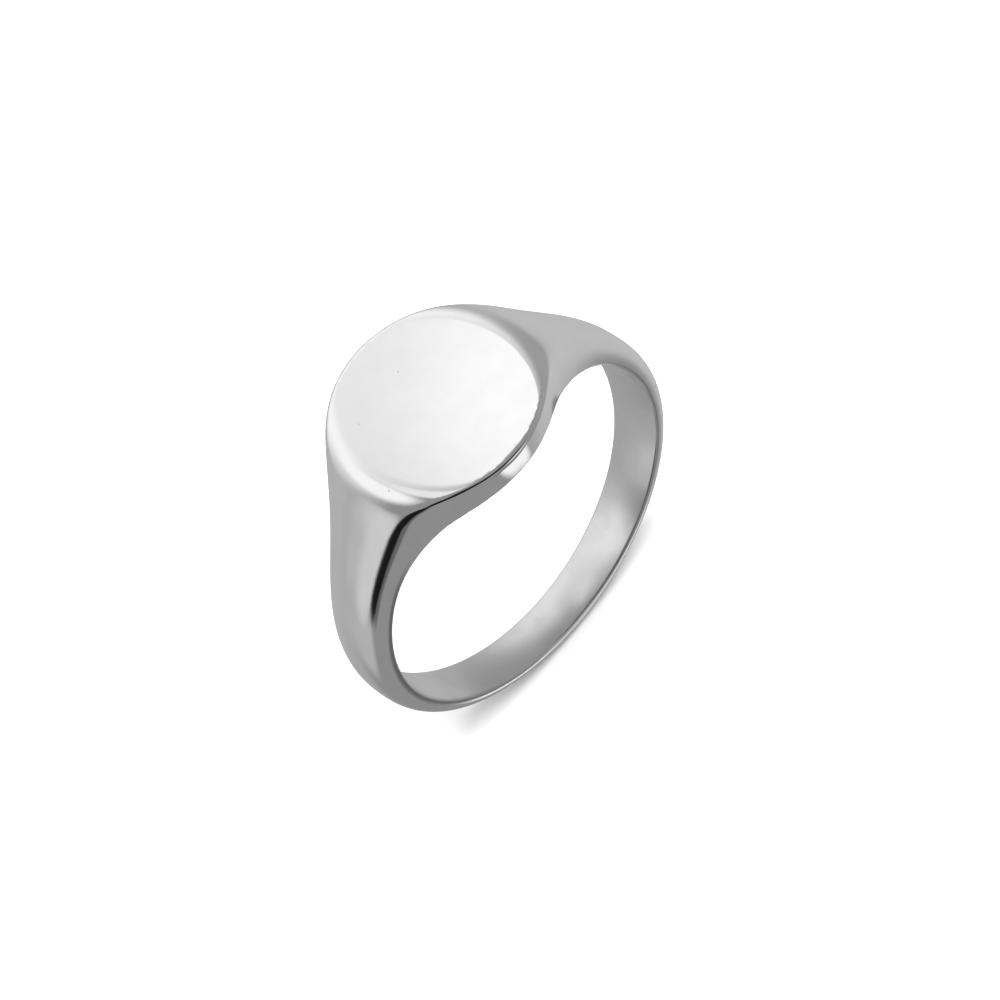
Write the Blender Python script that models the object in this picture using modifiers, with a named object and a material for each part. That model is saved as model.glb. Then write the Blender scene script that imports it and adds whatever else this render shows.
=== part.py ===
"""A plain signet ring with a round table, as the five pieces it is soldered from.

The finger hole runs along Y, the table faces +Z, and X runs from shoulder to shoulder.
The ring stands on the bottom of its shank, with the origin at that point.
Angles are measured round the hole from its top, positive towards +X.
"""

import math

import bmesh
import bpy
from mathutils import Vector

MM = 0.001

# Hole and table
BORE_RADIUS = 9.1 * MM
TABLE_HEIGHT = 10.95 * MM  # from the hole's centre to the flat of the table
HEAD_RADIUS = 5.35 * MM
HEAD_DRAFT = 0.25  # how much the head narrows for each unit below its rounded edge
TABLE_EDGE_RADIUS = 0.25 * MM
PLATE_THICKNESS = 1.0 * MM

# Band: half its width and its thickness, at the bottom, at the sides and towards the head
HALF_WIDTH_MEAN = 1.65 * MM
HALF_WIDTH_SWING = 0.4 * MM  # wider by this at the top, narrower by this at the bottom
FLARE_HALF_WIDTH = 2.75 * MM
FLARE_SPREAD = math.radians(31.5)
BOTTOM_THICKNESS = 1.1 * MM
SIDE_THICKNESS = 1.25 * MM
THINNING_POWER = 6
RISE_THICKNESS = 4.3 * MM
RISE_SPREAD = math.radians(27.5)

# Cross-section: exponent of a superellipse, 2 is an ellipse and higher is squarer
SHANK_SQUARENESS = 2.5
SHOULDER_SQUARENESS = 3.6
SQUARENESS_SPREAD = math.radians(55)

# The shoulders' tops: how they roll down from the level of the table
ROLL_START = 4.15 * MM
ROLL_NARROWING = 0.8
ROLL_SLOPE = 1.1
ROLL_LENGTH = 1.8 * MM
ROLL_POWER = 40  # how sharply a shoulder's slope turns into the roll

# Where the pieces meet
SHOULDER_START = math.radians(22)  # inside the head, which is then cut away
SHANK_START = math.radians(75)
SEAM = 0.05 * MM  # the solder between two pieces

# How far the blanks and the cutters run past the shape they leave
BLOCK_BOTTOM = 0.75 * BORE_RADIUS
HEAD_CUT_BOTTOM = 0.5 * BORE_RADIUS
BORE_CUT_LENGTH = 4 * HEAD_RADIUS

# Tone and roughness of the metal
TABLE_POLISH = (0.93, 0.06)
BLOCK_POLISH = (0.88, 0.10)
BAND_POLISH = (0.86, 0.12)

# Fineness of the lofts and turned pieces
SECTION_STEPS = 20
SHANK_STEPS = 60
SHOULDER_STEPS = 22
TURNED_STEPS = 72
EDGE_STEPS = 5
BORE_STEPS = 160
MERGE_DISTANCE = 0.01 * MM

BORE_HEIGHT = BORE_RADIUS + BOTTOM_THICKNESS
SMOOTH_ANGLE = math.radians(35)


def nearness(angle, spread):
    """1 at the top of the ring, falling away to 0 over about two spreads on either side."""
    return math.exp(-((math.remainder(angle, math.tau) / spread) ** 2))


def half_width(angle):
    """Half the band's width along Y, where it leaves the finger hole."""
    taper = HALF_WIDTH_MEAN + HALF_WIDTH_SWING * math.cos(angle)
    return taper + FLARE_HALF_WIDTH * nearness(angle, FLARE_SPREAD)


def thickness(angle):
    """The band's thickness on its centre line."""
    depth = (1 - math.cos(angle)) / 2
    thinning = (SIDE_THICKNESS - BOTTOM_THICKNESS) * depth**THINNING_POWER
    return SIDE_THICKNESS - thinning + RISE_THICKNESS * nearness(angle, RISE_SPREAD)


def squareness(angle):
    """The superellipse exponent of the band's cross-section."""
    extra = SHOULDER_SQUARENESS - SHANK_SQUARENESS
    return SHANK_SQUARENESS + extra * nearness(angle, SQUARENESS_SPREAD)


def under_the_table(radius, angle, y):
    """A radius from the hole's centre, kept below the table's level and the roll round it."""
    beyond = max(math.hypot(radius * math.sin(angle), ROLL_NARROWING * y) - ROLL_START, 0.0)
    drop = ROLL_SLOPE * beyond**3 / (beyond**2 + ROLL_LENGTH**2)
    ceiling = (TABLE_HEIGHT - drop) / max(math.cos(angle), 0.1)
    return (radius**-ROLL_POWER + ceiling**-ROLL_POWER) ** (-1 / ROLL_POWER)


def band_section(angle):
    """The domed outline at one angle, from its +Y foot over the top to its -Y foot."""
    across = half_width(angle)
    rise = thickness(angle)
    power = 2 / squareness(angle)
    points = []
    for step in range(SECTION_STEPS + 1):
        turn = math.pi * step / SECTION_STEPS
        y = math.copysign(across * abs(math.cos(turn)) ** power, math.cos(turn))
        radius = BORE_RADIUS + rise * max(math.sin(turn), 0.0) ** power
        radius = under_the_table(radius, angle, y)
        points.append(Vector((radius * math.sin(angle), y, radius * math.cos(angle))))
    return points


def loft(name, sections):
    """A closed solid through equal-sized sections, with its two ends capped."""
    shape = bmesh.new()
    rings = [[shape.verts.new(point) for point in section] for section in sections]
    size = len(rings[0])
    for ring, following in zip(rings, rings[1:]):
        for i in range(size):
            j = (i + 1) % size
            shape.faces.new((ring[i], ring[j], following[j], following[i]))
    shape.faces.new(rings[0])
    shape.faces.new(rings[-1])
    bmesh.ops.recalc_face_normals(shape, faces=shape.faces)
    mesh = bpy.data.meshes.new(name)
    shape.to_mesh(mesh)
    shape.free()
    return mesh


def band(name, first, last, steps):
    """The stretch of band between two angles."""
    angles = [first + (last - first) * step / steps for step in range(steps + 1)]
    return loft(name, [band_section(angle) for angle in angles])


def head_radius(height):
    """The head's radius at a height above the hole's centre, under its rounded edge."""
    below = TABLE_HEIGHT - TABLE_EDGE_RADIUS - height
    return HEAD_RADIUS - HEAD_DRAFT * max(below, 0.0)


def table_edge():
    """The rounded edge of the table, from its flat down to the head's side."""
    points = []
    for step in range(EDGE_STEPS + 1):
        turn = math.pi / 2 * step / EDGE_STEPS
        radius = HEAD_RADIUS - TABLE_EDGE_RADIUS * (1 - math.sin(turn))
        height = TABLE_HEIGHT - TABLE_EDGE_RADIUS * (1 - math.cos(turn))
        points.append((radius, height))
    return points


def turned(name, profile, collection, frame):
    """A solid turned about Z from a profile of (radius, height) that runs from top to bottom."""
    mesh = bpy.data.meshes.new(name)
    points = [(radius, 0.0, height) for radius, height in profile]
    edges = [(i, i + 1) for i in range(len(points) - 1)]
    mesh.from_pydata(points, edges, [])
    piece = place(name, mesh, collection, frame)
    screw = piece.modifiers.new("Turn", "SCREW")
    screw.axis = "Z"
    screw.steps = TURNED_STEPS
    screw.render_steps = TURNED_STEPS
    screw.use_merge_vertices = True
    screw.merge_threshold = MERGE_DISTANCE
    screw.use_smooth_shade = False
    return piece


def place(name, mesh, collection, frame):
    """An object for a mesh, standing in the ring's frame."""
    piece = bpy.data.objects.new(name, mesh)
    collection.objects.link(piece)
    piece.parent = frame
    return piece


def polished_silver(name, tone, roughness):
    """The metal of one piece."""
    material = bpy.data.materials.new(name)
    material.use_nodes = True
    shader = material.node_tree.nodes["Principled BSDF"]
    shader.inputs["Base Color"].default_value = (tone, tone, tone, 1)
    shader.inputs["Metallic"].default_value = 1.0
    shader.inputs["Roughness"].default_value = roughness
    return material


def finish(piece, polish):
    """Smooth shading over the curved faces, and the piece's own metal."""
    piece.data.shade_smooth()
    piece.data.set_sharp_from_angle(angle=SMOOTH_ANGLE)
    piece.data.materials.append(polished_silver(piece.name + "_silver", *polish))


def cut_with(piece, cutter):
    """Take one solid away from another."""
    cut = piece.modifiers.new("Cut " + cutter.name, "BOOLEAN")
    cut.operation = "DIFFERENCE"
    cut.solver = "EXACT"
    cut.object = cutter


def hide_cutter(cutter):
    """Keep a cutter out of renders and show it as wire."""
    cutter.hide_render = True
    cutter.display_type = "WIRE"


def make_bore_cutter(collection, frame):
    """The finger hole, as a cylinder along Y."""
    bpy.ops.mesh.primitive_cylinder_add(
        vertices=BORE_STEPS,
        radius=BORE_RADIUS,
        depth=BORE_CUT_LENGTH,
        rotation=(math.pi / 2, 0, 0),
    )
    cutter = bpy.context.object
    cutter.name = "bore_cutter"
    for owner in list(cutter.users_collection):
        owner.objects.unlink(cutter)
    collection.objects.link(cutter)
    cutter.parent = frame
    hide_cutter(cutter)
    return cutter


def make_head_cutter(collection, frame):
    """The room that the head and its seam take out of the shoulders."""
    top = TABLE_HEIGHT + PLATE_THICKNESS
    edge = TABLE_HEIGHT - TABLE_EDGE_RADIUS
    bottom = HEAD_CUT_BOTTOM
    profile = [
        (0.0, top),
        (HEAD_RADIUS + SEAM, top),
        (HEAD_RADIUS + SEAM, edge),
        (head_radius(bottom) + SEAM, bottom),
        (0.0, bottom),
    ]
    cutter = turned("head_cutter", profile, collection, frame)
    hide_cutter(cutter)
    return cutter


def make_face_plate(collection, frame):
    """The table: a turned plate with a polished flat and a rounded edge."""
    bottom = TABLE_HEIGHT - PLATE_THICKNESS
    profile = [(0.0, TABLE_HEIGHT)] + table_edge() + [(head_radius(bottom), bottom), (0.0, bottom)]
    plate = turned("face_plate", profile, collection, frame)
    finish(plate, TABLE_POLISH)


def make_head_block(collection, frame, bore_cutter):
    """The round head between the table and the finger hole, saddled underneath."""
    top = TABLE_HEIGHT - PLATE_THICKNESS - SEAM
    bottom = BLOCK_BOTTOM
    profile = [(0.0, top), (head_radius(top), top), (head_radius(bottom), bottom), (0.0, bottom)]
    block = turned("head_block", profile, collection, frame)
    cut_with(block, bore_cutter)
    finish(block, BLOCK_POLISH)


def make_shoulder(name, side, collection, frame, head_cutter):
    """One shoulder, from the head down to the shank, at +X or -X."""
    last = SHANK_START - SEAM / BORE_RADIUS
    mesh = band(name, side * SHOULDER_START, side * last, SHOULDER_STEPS)
    shoulder = place(name, mesh, collection, frame)
    cut_with(shoulder, head_cutter)
    finish(shoulder, BAND_POLISH)


def make_shank(collection, frame):
    """The lower band, from one shoulder round the bottom to the other."""
    mesh = band("shank", SHANK_START, 2 * math.pi - SHANK_START, SHANK_STEPS)
    shank = place("shank", mesh, collection, frame)
    finish(shank, BAND_POLISH)


def clear_scene():
    """Empty the scene of what it opened with."""
    for thing in list(bpy.data.objects):
        bpy.data.objects.remove(thing, do_unlink=True)


def make_collection(name):
    """A collection in the scene."""
    collection = bpy.data.collections.new(name)
    bpy.context.scene.collection.children.link(collection)
    return collection


def main():
    clear_scene()
    ring = make_collection("signet_ring")
    cutters = make_collection("cutters")
    frame = bpy.data.objects.new("bore_centre", None)
    frame.location = (0, 0, BORE_HEIGHT)
    ring.objects.link(frame)
    bore_cutter = make_bore_cutter(cutters, frame)
    head_cutter = make_head_cutter(cutters, frame)
    make_face_plate(ring, frame)
    make_head_block(ring, frame, bore_cutter)
    make_shoulder("right_shoulder", 1, ring, frame, head_cutter)
    make_shoulder("left_shoulder", -1, ring, frame, head_cutter)
    make_shank(ring, frame)


main()
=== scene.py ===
"""The looks of a plain signet ring: polished silver, its solder joints filed into one skin."""

import math

import bmesh
import bpy
import numpy as np
from mathutils import Matrix, Vector


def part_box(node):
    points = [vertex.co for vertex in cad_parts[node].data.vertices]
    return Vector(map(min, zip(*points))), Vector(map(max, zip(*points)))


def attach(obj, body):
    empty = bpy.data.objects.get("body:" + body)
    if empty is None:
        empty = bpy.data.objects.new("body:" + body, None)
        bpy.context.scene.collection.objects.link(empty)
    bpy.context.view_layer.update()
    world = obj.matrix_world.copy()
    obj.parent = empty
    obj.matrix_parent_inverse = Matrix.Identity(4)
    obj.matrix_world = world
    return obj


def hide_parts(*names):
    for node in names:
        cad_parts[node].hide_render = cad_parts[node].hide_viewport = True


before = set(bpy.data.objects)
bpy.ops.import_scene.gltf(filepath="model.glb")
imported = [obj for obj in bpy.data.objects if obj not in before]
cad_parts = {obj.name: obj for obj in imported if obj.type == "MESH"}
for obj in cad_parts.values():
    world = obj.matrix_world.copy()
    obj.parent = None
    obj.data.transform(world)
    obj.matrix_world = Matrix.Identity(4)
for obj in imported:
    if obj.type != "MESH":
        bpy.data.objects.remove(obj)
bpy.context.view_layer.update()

MM = 0.001
PLATE_LOW, PLATE_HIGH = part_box("face_plate")
BLOCK_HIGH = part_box("head_block")[1]

# The ring's own sizes, in metres from the middle of the finger hole
BORE_RADIUS = 9.1 * MM
BOTTOM_THICKNESS = 1.1 * MM
BORE_HEIGHT = BORE_RADIUS + BOTTOM_THICKNESS
TABLE_HEIGHT = PLATE_HIGH.z - BORE_HEIGHT
PLATE_BOTTOM = (PLATE_LOW.z + BLOCK_HIGH.z) / 2 - BORE_HEIGHT
POLISH = 0.03 * MM  # taken off the head all round, which keeps it inside the CAD shape
HEAD_RADIUS = PLATE_HIGH.x - POLISH
HEAD_DRAFT = 0.25
TABLE_EDGE_RADIUS = 0.25 * MM
HALF_WIDTH_MEAN = 1.65 * MM
HALF_WIDTH_SWING = 0.4 * MM
FLARE_HALF_WIDTH = 2.75 * MM
FLARE_SPREAD = math.radians(31.5)
SIDE_THICKNESS = 1.245 * MM
THINNING_POWER = 6
RISE_THICKNESS = 4.3 * MM
RISE_SPREAD = math.radians(27.5)
SHANK_SQUARENESS = 2.5
SHOULDER_SQUARENESS = 3.6
SQUARENESS_SPREAD = math.radians(55)
SHANK_START = math.radians(75)

# Where the table starts to roll down towards the shoulders, and how steeply it ends
ROLL_START = 4.15 * MM
ROLL_NARROWING = 0.8
ROLL_SLOPE = 1.1
ROLL_LENGTH = 1.8 * MM
BORE_CROWN = 0.10 * MM  # how much wider the finger hole is at its rims
TABLE_DOME = 0.03 * MM  # how far polishing has lowered the table's rim

# How far the polishing has run the shapes together
TABLE_EDGE = 0.28 * MM  # the sides and shoulders into the table
SHOULDER_BLEND = 0.8 * MM  # a shoulder into the head
BORE_EDGE = 0.12 * MM  # the sides into the finger hole


# The polish, which is finest on the table: tone, roughness and grain there, on the band and in the hole.
# In the hole the tone is an even share of the band's: a painted shade over the whole finger hole, not a
# colour of the metal.
TABLE_TONE = 0.94
BAND_TONE = 0.92
HOLE_PAINTED_SHADE = 0.86
TABLE_ROUGHNESS = 0.05
BAND_ROUGHNESS = 0.1
HOLE_ROUGHNESS = 0.24
TABLE_GRAIN = 0.4
BAND_GRAIN = 2.0
POLISH_DEPTH = 4 * MM  # how far below the table the finer polish has run out

# Wear: sizes, and what each mark adds to the roughness, takes off the tone and cuts in depth
CLOUD_SIZE = 1.2 * MM
GRAIN_SIZE = 0.07 * MM
HAIRLINE_WIDTH = 0.05 * MM
HAIRLINE_STRETCH = (60, 1, 60)
HAIRLINE_PATCH = 1.5 * MM
HAIRLINE_TURNS = (0.4, 2.2)
HAIRLINE_ROUGHNESS = 0.04
HAIRLINE_DEPTH = 0.12
PIT_SPACING = 1.6 * MM
PIT_RADIUS = 0.07 * MM
PIT_SHARE = 0.2
PIT_ROUGHNESS = 0.3
PIT_TONE = 0.35
PIT_DEPTH = 4.0
BUMP_DEPTH = 0.001 * MM

# The light overhead: its direction, distance, width and power
KEY_DIRECTION = (215, 83)
KEY_DISTANCE = 0.3
KEY_WIDTH = 0.3
KEY_POWER = 1.6
FLOOR_ROUGHNESS = 0.9

# Fineness
ANGLE_STEP = math.radians(0.4)
SECTION_POINTS = 200
SEARCH_STEPS = 24
HEAD_CUTTER_STEPS = 384

# The cut round the head opens out along Y: from which sine of the turn, over what span, how far
OPENING_FROM = 0.72
OPENING_EASE = 0.2
OPENING_GROWTH = 0.4

# The search along each ray, in from a core line inside the metal, and the reading of normals
CORE_SHARE = 0.45
CORE_LIMIT = TABLE_HEIGHT / 4
SEARCH_REACH = 1.5 * HEAD_RADIUS
NORMAL_STEP = 0.002 * MM
SKIN_TOLERANCE = 0.01 * MM
AGREEMENT = 0.5  # a face and the shape agree if their normals' product is over this

# How far the head's cutters run past it
CUTTER_BOTTOM = 0.5 * BORE_RADIUS
CUTTER_TOP = TABLE_HEIGHT + 1 * MM

# Camera
CAMERA_AZIMUTH = math.radians(157.6)
CAMERA_ELEVATION = math.radians(54.5)
CAMERA_ROLL = math.radians(-30.3)
CAMERA_DISTANCE = 241.4 * MM
CAMERA_LENS = 180
SENSOR_WIDTH = 36
CLIP_START = 0.01
CLIP_END = 10
AIM = Vector((-0.55, -0.52, 0.49)) * MM

# The floor's tone and half width in metres, and how far up the backdrop turns white
FLOOR_TONE = 0.8
FLOOR_REACH = 3.0
BACKDROP_RISE = 0.1

# What the metal reflects: levels by height, and round patches as azimuth, elevation, the angles
# where they are full and where they end, and brightness
FLOOR_LEVEL = 0.46
CEILING_LEVEL = 0.97
CEILING_FROM = 0.0
CEILING_FULL = 0.7
STUDIO_PATCHES = [
    (180, 0, 106, 134, 0.28),
    (75, -28, 12, 28, 0.47),
    (-95, 20, 25, 50, 0.34),
    (-75, -38, 10, 45, 0.54),
    (-165, -58, 3, 16, 0.12),
    (-145, -75, 3, 6.5, 0.97),
    (-127, -73, 3, 7, 0.97),
    (20, 68, 4, 16, 0.85),
    (48, 42, 10, 22, 0.97),
    (72, -3, 8, 20, 0.63),
    (-28.5, 54.5, 2, 5.8, 1.05),
    (103, -3, 12, 19, 0.01),
    (114, -17, 3, 9, 0.13),
    (130, 12, 15, 22, 0.01),
    (158, 34, 22, 30, 0.01),
    (186, 40, 14, 24, 0.01),
    (194, -12, 9, 14, 0.95),
]


# ---------------------------------------------------------------- shape of the ring


def nearness(angle, spread):
    """1 at the top of the ring, falling away on either side."""
    wrapped = np.remainder(angle + math.pi, math.tau) - math.pi
    return np.exp(-((wrapped / spread) ** 2))


def half_width(angle):
    """Half the band's width along Y."""
    taper = HALF_WIDTH_MEAN + HALF_WIDTH_SWING * np.cos(angle)
    return taper + FLARE_HALF_WIDTH * nearness(angle, FLARE_SPREAD)


def thickness(angle):
    """The band's thickness on its centre line."""
    depth = (1 - np.cos(angle)) / 2
    thinning = (SIDE_THICKNESS - BOTTOM_THICKNESS) * depth**THINNING_POWER
    return SIDE_THICKNESS - thinning + RISE_THICKNESS * nearness(angle, RISE_SPREAD)


def squareness(angle):
    """The superellipse exponent of the band's cross-section."""
    extra = SHOULDER_SQUARENESS - SHANK_SQUARENESS
    return SHANK_SQUARENESS + extra * nearness(angle, SQUARENESS_SPREAD)


def soft_min(a, b, width):
    """The smaller of two distances, rounded over where they are within a width of each other."""
    share = np.clip(0.5 + 0.5 * (b - a) / width, 0, 1)
    return b + (a - b) * share - width * share * (1 - share)


def soft_max(a, b, width):
    """The larger of two distances, rounded over in the same way."""
    return -soft_min(-a, -b, width)


def band_distance(angle, y, radius):
    """Roughly how far a point is outside the domed band, negative inside it."""
    across = np.abs(y) / half_width(angle)
    up = np.abs(radius - BORE_RADIUS) / thickness(angle)
    power = squareness(angle)
    level = (across**power + up**power) ** (1 / power)
    reach = np.hypot(y, radius - BORE_RADIUS)
    return reach * (1 - 1 / np.maximum(level, 1e-6))


def head_radius(height):
    """The head's radius at a height above the hole's centre."""
    return HEAD_RADIUS - HEAD_DRAFT * (TABLE_HEIGHT - TABLE_EDGE_RADIUS - height)


def table_level(x, y):
    """The height of the table, which is flat in the middle and rolls down towards the shoulders."""
    beyond = np.maximum(np.hypot(x, ROLL_NARROWING * y) - ROLL_START, 0)
    roll = ROLL_SLOPE * beyond**3 / (beyond**2 + ROLL_LENGTH**2)
    return TABLE_HEIGHT - TABLE_DOME * (x**2 + y**2) / HEAD_RADIUS**2 - roll


def ring_distance(angle, y, radius):
    """How far a point is outside the whole ring, negative in the metal."""
    x, z = radius * np.sin(angle), radius * np.cos(angle)
    head = np.maximum(np.hypot(x, y) - head_radius(z), -z)
    sides = soft_min(band_distance(angle, y, radius), head, SHOULDER_BLEND)
    outside = soft_max(sides, z - table_level(x, y), TABLE_EDGE)
    crown = BORE_CROWN * (y / half_width(angle)) ** 2
    return soft_max(outside, BORE_RADIUS + crown - radius, BORE_EDGE)


def outward(points):
    """Unit normals of the ring's surface at points given from the hole's centre."""
    slopes = []
    for axis in range(3):
        step = np.zeros(3)
        step[axis] = NORMAL_STEP
        slopes.append(distance_at(points + step) - distance_at(points - step))
    normals = np.stack(slopes, axis=-1)
    return normals / np.maximum(np.linalg.norm(normals, axis=-1, keepdims=True), 1e-12)


def distance_at(points):
    """The ring's distance at points in X, Y and Z."""
    x, y, z = points[..., 0], points[..., 1], points[..., 2]
    return ring_distance(np.arctan2(x, z), y, np.hypot(x, z))


def skin(angles, turns):
    """Points on the surface, searched for along rays in each angle's section plane."""
    angle = angles[:, None]
    core = BORE_RADIUS + CORE_SHARE * np.minimum(thickness(angle), CORE_LIMIT)
    low = np.zeros_like(turns)
    high = np.full_like(turns, SEARCH_REACH)
    for _ in range(SEARCH_STEPS):
        middle = (low + high) / 2
        radius = core + middle * np.sin(turns)
        inside = ring_distance(angle, middle * np.cos(turns), radius) < 0
        low = np.where(inside, middle, low)
        high = np.where(inside, high, middle)
    middle = (low + high) / 2
    radius = core + middle * np.sin(turns)
    y = middle * np.cos(turns)
    return np.stack([radius * np.sin(angle), y, radius * np.cos(angle)], axis=-1)


def even_turns(angles):
    """Ray directions for each section that space its points evenly along its outline."""
    trial = np.linspace(0, math.tau, 4 * SECTION_POINTS + 1)
    outline = skin(angles, np.broadcast_to(trial, (len(angles), len(trial))).copy())
    length = np.linalg.norm(np.diff(outline, axis=1), axis=2).cumsum(axis=1)
    turns = np.empty((len(angles), SECTION_POINTS))
    for row, total in enumerate(length):
        wanted = total[-1] * np.arange(SECTION_POINTS) / SECTION_POINTS
        turns[row] = np.interp(wanted, np.concatenate([[0], total]), trial)
    return turns


# ---------------------------------------------------------------- meshes


def band_mesh(name, first, last):
    """The blended ring between two angles, closed by flat ends."""
    angles = np.linspace(first, last, round((last - first) / ANGLE_STEP) + 1)
    points = skin(angles, even_turns(angles)) + [0, 0, BORE_HEIGHT]
    rows, columns = points.shape[:2]
    index = np.arange(rows * columns).reshape(rows, columns)
    following = np.roll(index, -1, axis=1)
    sides = [index[:-1], index[1:], following[1:], following[:-1]]
    faces = np.stack([side.ravel() for side in sides], axis=1).tolist()
    faces.append(index[0].tolist())
    faces.append(index[-1][::-1].tolist())
    mesh = bpy.data.meshes.new(name)
    mesh.from_pydata(points.reshape(-1, 3).tolist(), [], faces)
    mesh.update()
    return mesh


def head_cutter(name, top, bottom):
    """The head's own space between two heights above the hole's centre, opened out along Y."""
    shape = bmesh.new()
    rings = []
    for height in (top, bottom):
        ring = []
        for step in range(HEAD_CUTTER_STEPS):
            turn = math.tau * step / HEAD_CUTTER_STEPS
            opening = min(max((abs(math.sin(turn)) - OPENING_FROM) / OPENING_EASE, 0), 1)
            radius = float(head_radius(height)) * (1 + OPENING_GROWTH * opening)
            point = (radius * math.cos(turn), radius * math.sin(turn), height)
            ring.append(shape.verts.new(point))
        rings.append(ring)
    upper, lower = rings
    for i in range(HEAD_CUTTER_STEPS):
        j = (i + 1) % HEAD_CUTTER_STEPS
        shape.faces.new((upper[i], lower[i], lower[j], upper[j]))
    shape.faces.new(upper)
    shape.faces.new(lower[::-1])
    mesh = bpy.data.meshes.new(name)
    shape.to_mesh(mesh)
    shape.free()
    cutter = bpy.data.objects.new(name, mesh)
    cutter.location.z = BORE_HEIGHT
    return cutter


def cut(mesh, name, cutter, operation):
    """A new mesh: the given one cut by a cutter."""
    piece = bpy.data.objects.new(name, mesh)
    scene = bpy.context.scene.collection
    scene.objects.link(piece)
    scene.objects.link(cutter)
    boolean = piece.modifiers.new("Cut", "BOOLEAN")
    boolean.operation = operation
    boolean.solver = "EXACT"
    boolean.object = cutter
    bpy.context.view_layer.update()
    graph = bpy.context.evaluated_depsgraph_get()
    made = bpy.data.meshes.new_from_object(piece.evaluated_get(graph))
    made.name = name
    bpy.data.objects.remove(piece)
    bpy.data.objects.remove(cutter)
    return made


def keep_side(mesh, name, side):
    """The half of a mesh on one side of X = 0."""
    shape = bmesh.new()
    shape.from_mesh(mesh)
    wrong = [v for v in shape.verts if v.co.x * side < 0]
    bmesh.ops.delete(shape, geom=wrong, context="VERTS")
    made = bpy.data.meshes.new(name)
    shape.to_mesh(made)
    shape.free()
    return made


def shade_from_shape(mesh):
    """Give every corner on the ring's surface the exact normal of the shape, and cut faces their own."""
    count = len(mesh.vertices)
    points = np.empty(count * 3)
    mesh.vertices.foreach_get("co", points)
    points = points.reshape(-1, 3) - [0, 0, BORE_HEIGHT]
    on_skin = np.abs(distance_at(points)) < SKIN_TOLERANCE
    exact = outward(points)
    mesh.shade_smooth()
    corner_vertex = np.empty(len(mesh.loops), dtype=int)
    mesh.loops.foreach_get("vertex_index", corner_vertex)
    normals = exact[corner_vertex]
    for face in mesh.polygons:
        corners = slice(face.loop_start, face.loop_start + face.loop_total)
        own = np.array(face.normal)
        agrees = normals[corners] @ own > AGREEMENT
        good = agrees & on_skin[corner_vertex[corners]]
        if not good.all():
            normals[corners] = own
    mesh.normals_split_custom_set(normals.tolist())


def place(name, mesh, material):
    """Put a finished piece in the scene in place of its CAD node."""
    shade_from_shape(mesh)
    mesh.materials.clear()
    mesh.materials.append(material)
    piece = bpy.data.objects.new(name + "_polished", mesh)
    bpy.context.scene.collection.objects.link(piece)
    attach(piece, "root")
    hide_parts(name)
    return piece


# ---------------------------------------------------------------- materials


def new_node(tree, kind, **settings):
    """A node with its properties set."""
    node = tree.nodes.new(kind)
    for key, value in settings.items():
        setattr(node, key, value)
    return node


def noise(tree, coordinates, size, detail, stretch=(1, 1, 1), turn=0.0):
    """Noise with features of about a size, drawn out along its axes and turned about Z."""
    mapping = new_node(tree, "ShaderNodeMapping")
    mapping.inputs["Scale"].default_value = [1 / (size * factor) for factor in stretch]
    mapping.inputs["Rotation"].default_value = (0, 0, turn)
    tree.links.new(coordinates, mapping.inputs["Vector"])
    texture = new_node(tree, "ShaderNodeTexNoise")
    texture.inputs["Scale"].default_value = 1.0
    texture.inputs["Detail"].default_value = detail
    tree.links.new(mapping.outputs[0], texture.inputs["Vector"])
    return texture.outputs[0]


def smooth_range(tree, value, low, high, at_low, at_high):
    """A value eased from one range into another."""
    ease = new_node(tree, "ShaderNodeMapRange", interpolation_type="SMOOTHSTEP")
    ease.inputs["From Min"].default_value = low
    ease.inputs["From Max"].default_value = high
    ease.inputs["To Min"].default_value = at_low
    ease.inputs["To Max"].default_value = at_high
    tree.links.new(value, ease.inputs["Value"])
    return ease.outputs[0]


def combine(tree, operation, first, second):
    """Two values put together by a sum or a product; either may be a plain number."""
    node = new_node(tree, "ShaderNodeMath", operation=operation)
    for socket, value in zip(node.inputs, (first, second)):
        if isinstance(value, (int, float)):
            socket.default_value = value
        else:
            tree.links.new(value, socket)
    return node.outputs[0]


def scratches(tree, coordinates, turn):
    """Sparse hairlines in one direction, 0 to 1."""
    lines = noise(tree, coordinates, HAIRLINE_WIDTH, 2, HAIRLINE_STRETCH, turn)
    where = noise(tree, coordinates, HAIRLINE_PATCH, 1)
    fine = smooth_range(tree, lines, 0.66, 0.72, 0, 1)
    some = smooth_range(tree, where, 0.5, 0.62, 0, 1)
    return combine(tree, "MULTIPLY", fine, some)


def pits(tree, coordinates, spacing, radius, share):
    """A few tiny round pits, 0 to 1."""
    mapping = new_node(tree, "ShaderNodeMapping")
    mapping.inputs["Scale"].default_value = [1 / spacing] * 3
    tree.links.new(coordinates, mapping.inputs["Vector"])
    cells = new_node(tree, "ShaderNodeTexVoronoi")
    cells.inputs["Scale"].default_value = 1.0
    tree.links.new(mapping.outputs[0], cells.inputs["Vector"])
    dots = smooth_range(tree, cells.outputs["Distance"], 0.5 * radius / spacing, radius / spacing, 1, 0)
    chance = new_node(tree, "ShaderNodeSeparateColor")
    tree.links.new(cells.outputs["Color"], chance.inputs[0])
    chosen = smooth_range(tree, chance.outputs[0], 1 - share, 1 - share + 0.01, 0, 1)
    return combine(tree, "MULTIPLY", dots, chosen)


def in_the_hole(tree, position):
    """1 on the wall of the finger hole and 0 outside it."""
    across = position.outputs["X"]
    up = combine(tree, "SUBTRACT", position.outputs["Z"], BORE_HEIGHT)
    across_squared = combine(tree, "MULTIPLY", across, across)
    up_squared = combine(tree, "MULTIPLY", up, up)
    radius = combine(tree, "SQRT", combine(tree, "ADD", across_squared, up_squared), 0.0)
    return smooth_range(tree, radius, BORE_RADIUS + BORE_CROWN, BORE_RADIUS + 3 * BORE_CROWN, 1, 0)


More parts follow.
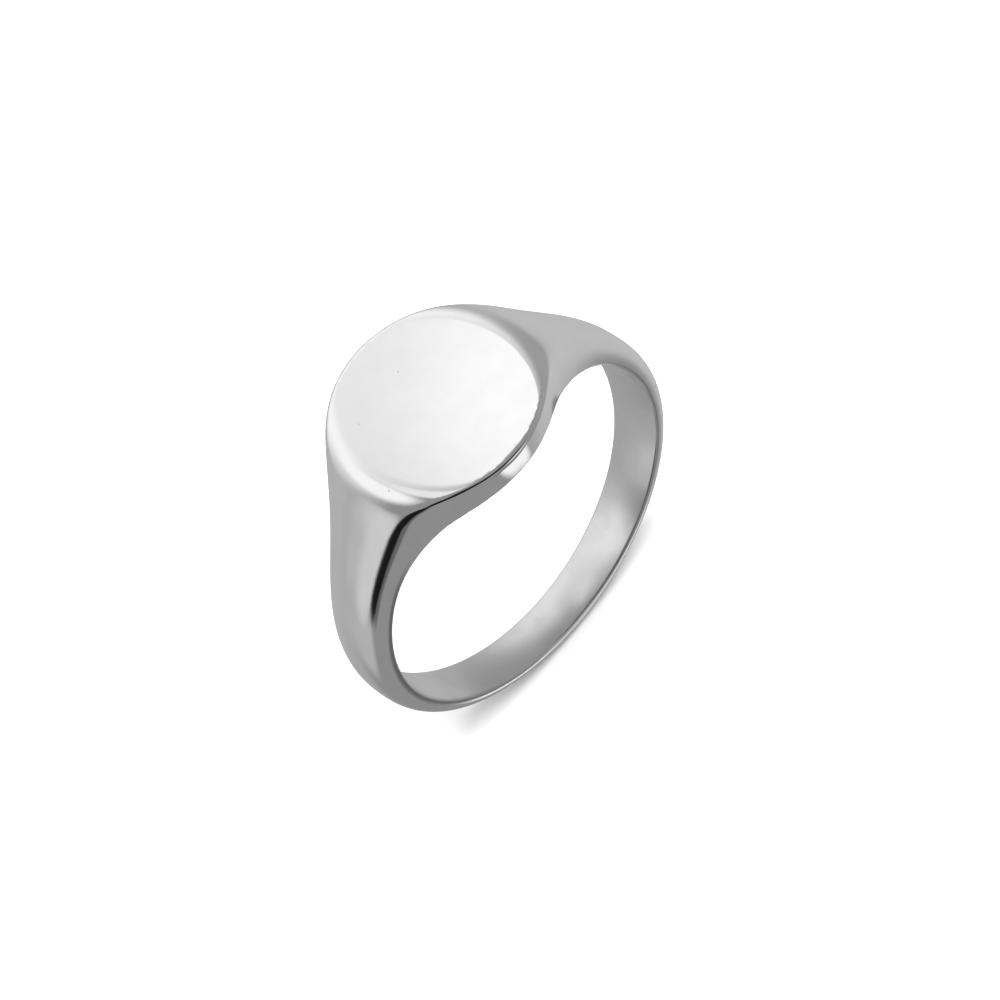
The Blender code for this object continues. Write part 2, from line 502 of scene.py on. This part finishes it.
def blend(tree, share, first, second):
    """A value between two others; any of them may be a plain number."""
    kept = combine(tree, "MULTIPLY", combine(tree, "SUBTRACT", 1.0, share), first)
    return combine(tree, "ADD", kept, combine(tree, "MULTIPLY", share, second))


def silver(name):
    """Polished silver with a faint grain, hairline scratches, dull patches and tiny pits, and a painted
    shade that darkens the finger hole.
    """
    material = bpy.data.materials.new(name)
    material.use_nodes = True
    tree = material.node_tree
    shader = tree.nodes["Principled BSDF"]
    shader.inputs["Metallic"].default_value = 1.0
    coordinates = new_node(tree, "ShaderNodeTexCoord").outputs["Object"]
    position = new_node(tree, "ShaderNodeSeparateXYZ")
    tree.links.new(coordinates, position.inputs[0])
    top = PLATE_HIGH.z - TABLE_EDGE
    table = smooth_range(tree, position.outputs["Z"], PLATE_HIGH.z - POLISH_DEPTH, top, 0, 1)
    hole = in_the_hole(tree, position)

    one_way, other_way = (scratches(tree, coordinates, turn) for turn in HAIRLINE_TURNS)
    marks = combine(tree, "MAXIMUM", one_way, other_way)
    pitting = pits(tree, coordinates, PIT_SPACING, PIT_RADIUS, PIT_SHARE)
    cloud = noise(tree, coordinates, CLOUD_SIZE, 3)

    polish = blend(tree, table, BAND_ROUGHNESS, TABLE_ROUGHNESS)
    polish = blend(tree, hole, polish, HOLE_ROUGHNESS)
    dull = combine(tree, "MULTIPLY", polish, smooth_range(tree, cloud, 0.35, 0.7, 0.85, 1.2))
    worn = combine(tree, "ADD", dull, combine(tree, "MULTIPLY", marks, HAIRLINE_ROUGHNESS))
    uneven = combine(tree, "ADD", worn, combine(tree, "MULTIPLY", pitting, PIT_ROUGHNESS))
    tree.links.new(uneven, shader.inputs["Roughness"])

    tone = blend(tree, table, BAND_TONE, TABLE_TONE)
    # Painted shade: the whole finger hole is darkened to an even share of the band's tone.
    tone = combine(tree, "MULTIPLY", tone, blend(tree, hole, 1.0, HOLE_PAINTED_SHADE))
    # Random dull tarnish from the cloud, on a tone that already carries the painted shade in the hole.
    tarnish_and_painted_hole_shade = combine(tree, "MULTIPLY", tone, smooth_range(tree, cloud, 0.3, 0.75, 1, 0.97))
    shade = combine(tree, "SUBTRACT", tarnish_and_painted_hole_shade, combine(tree, "MULTIPLY", pitting, PIT_TONE))
    colour = new_node(tree, "ShaderNodeCombineColor")
    for channel in colour.inputs:
        tree.links.new(shade, channel)
    tree.links.new(colour.outputs[0], shader.inputs["Base Color"])

    grain = blend(tree, table, BAND_GRAIN, TABLE_GRAIN)
    height = combine(tree, "MULTIPLY", noise(tree, coordinates, GRAIN_SIZE, 3), grain)
    height = combine(tree, "SUBTRACT", height, combine(tree, "MULTIPLY", marks, HAIRLINE_DEPTH))
    height = combine(tree, "SUBTRACT", height, combine(tree, "MULTIPLY", pitting, PIT_DEPTH))
    bump = new_node(tree, "ShaderNodeBump")
    bump.inputs["Strength"].default_value = 1.0
    bump.inputs["Distance"].default_value = BUMP_DEPTH
    tree.links.new(height, bump.inputs["Height"])
    tree.links.new(bump.outputs[0], shader.inputs["Normal"])
    return material


# ---------------------------------------------------------------- studio


def direction(azimuth, elevation):
    """A unit vector from an azimuth and an elevation in degrees, azimuth 0 being towards -Y."""
    a, e = math.radians(azimuth), math.radians(elevation)
    return Vector((math.sin(a) * math.cos(e), -math.cos(a) * math.cos(e), math.sin(e)))


def make_camera():
    """The camera, looking down at the ring over its right shoulder."""
    camera = bpy.data.objects.new("camera", bpy.data.cameras.new("camera"))
    bpy.context.scene.collection.objects.link(camera)
    camera.data.lens = CAMERA_LENS
    camera.data.sensor_width = SENSOR_WIDTH
    camera.data.clip_start = CLIP_START
    camera.data.clip_end = CLIP_END
    back = direction(math.degrees(CAMERA_AZIMUTH), math.degrees(CAMERA_ELEVATION))
    camera.rotation_mode = "QUATERNION"
    level = (-back).to_track_quat("-Z", "Y")
    camera.rotation_quaternion = level @ Matrix.Rotation(CAMERA_ROLL, 3, "Z").to_quaternion()
    camera.location = Vector((0, 0, BORE_HEIGHT)) + AIM + back * CAMERA_DISTANCE
    bpy.context.scene.camera = camera


def make_world():
    """What the metal reflects, with a plain pale backdrop for the camera and for the floor."""
    world = bpy.data.worlds.new("studio")
    bpy.context.scene.world = world
    world.use_nodes = True
    tree = world.node_tree
    tree.nodes.clear()
    towards = new_node(tree, "ShaderNodeTexCoord").outputs["Generated"]
    split = new_node(tree, "ShaderNodeSeparateXYZ")
    tree.links.new(towards, split.inputs[0])
    level = smooth_range(tree, split.outputs["Z"], CEILING_FROM, CEILING_FULL, FLOOR_LEVEL, CEILING_LEVEL)
    for azimuth, elevation, inner, outer, brightness in STUDIO_PATCHES:
        level = patch(tree, towards, level, azimuth, elevation, inner, outer, brightness)
    reflected = new_node(tree, "ShaderNodeBackground")
    tree.links.new(level, reflected.inputs["Color"])
    backdrop = new_node(tree, "ShaderNodeBackground")
    sweep = smooth_range(tree, split.outputs["Z"], 0.0, BACKDROP_RISE, FLOOR_TONE, 1)
    tree.links.new(sweep, backdrop.inputs["Color"])
    path = new_node(tree, "ShaderNodeLightPath")
    plain = combine(tree, "MAXIMUM", path.outputs["Is Camera Ray"], path.outputs["Is Diffuse Ray"])
    choose = new_node(tree, "ShaderNodeMixShader")
    tree.links.new(plain, choose.inputs[0])
    tree.links.new(reflected.outputs[0], choose.inputs[1])
    tree.links.new(backdrop.outputs[0], choose.inputs[2])
    output = new_node(tree, "ShaderNodeOutputWorld")
    tree.links.new(choose.outputs[0], output.inputs["Surface"])


def patch(tree, towards, level, azimuth, elevation, inner, outer, brightness):
    """Mix a soft round patch of another brightness into the surroundings."""
    dot = new_node(tree, "ShaderNodeVectorMath", operation="DOT_PRODUCT")
    dot.inputs[1].default_value = direction(azimuth, elevation)
    tree.links.new(towards, dot.inputs[0])
    edge, full = math.cos(math.radians(outer)), math.cos(math.radians(inner))
    share = smooth_range(tree, dot.outputs["Value"], edge, full, 0, 1)
    mix = new_node(tree, "ShaderNodeMix", data_type="FLOAT")
    mix.inputs["B"].default_value = brightness
    tree.links.new(share, mix.inputs["Factor"])
    tree.links.new(level, mix.inputs["A"])
    return mix.outputs["Result"]


def make_floor():
    """The pale floor that the ring stands on."""
    mesh = bpy.data.meshes.new("floor")
    reach = FLOOR_REACH
    corners = [(-reach, -reach, 0), (reach, -reach, 0), (reach, reach, 0), (-reach, reach, 0)]
    mesh.from_pydata(corners, [], [(0, 1, 2, 3)])
    floor = bpy.data.objects.new("floor", mesh)
    bpy.context.scene.collection.objects.link(floor)
    material = bpy.data.materials.new("floor")
    material.use_nodes = True
    shader = material.node_tree.nodes["Principled BSDF"]
    shader.inputs["Base Color"].default_value = (FLOOR_TONE, FLOOR_TONE, FLOOR_TONE, 1)
    shader.inputs["Roughness"].default_value = FLOOR_ROUGHNESS
    shader.inputs["Specular IOR Level"].default_value = 0.0
    mesh.materials.append(material)
    floor.visible_glossy = False


def make_key_light():
    """A large soft light overhead, which the metal doesn't show."""
    light = bpy.data.lights.new("ceiling", "AREA")
    light.shape = "DISK"
    light.size = KEY_WIDTH
    light.energy = KEY_POWER
    lamp = bpy.data.objects.new("ceiling", light)
    bpy.context.scene.collection.objects.link(lamp)
    back = direction(*KEY_DIRECTION)
    lamp.location = back * KEY_DISTANCE
    lamp.rotation_mode = "QUATERNION"
    lamp.rotation_quaternion = (-back).to_track_quat("-Z", "Y")
    lamp.visible_glossy = False


# ---------------------------------------------------------------- the pieces


def make_pieces():
    """Cut the blended ring where the CAD pieces meet."""
    table_metal = silver("table_silver")
    band_metal = silver("band_silver")
    upper = band_mesh("upper", -SHANK_START, SHANK_START)
    plate = cut(upper, "face_plate", head_cutter("plate_cutter", CUTTER_TOP, PLATE_BOTTOM), "INTERSECT")
    block = cut(upper, "head_block", head_cutter("block_cutter", PLATE_BOTTOM, CUTTER_BOTTOM), "INTERSECT")
    sides = cut(upper, "shoulders", head_cutter("side_cutter", CUTTER_TOP, CUTTER_BOTTOM), "DIFFERENCE")
    place("face_plate", plate, table_metal)
    place("head_block", block, table_metal)
    place("right_shoulder", keep_side(sides, "right_shoulder", 1), band_metal)
    place("left_shoulder", keep_side(sides, "left_shoulder", -1), band_metal)
    shank = band_mesh("shank", SHANK_START, math.tau - SHANK_START)
    place("shank", shank, band_metal)


make_camera()
make_world()
make_floor()
make_key_light()
make_pieces()
bpy.context.scene.view_settings.view_transform = "Standard"
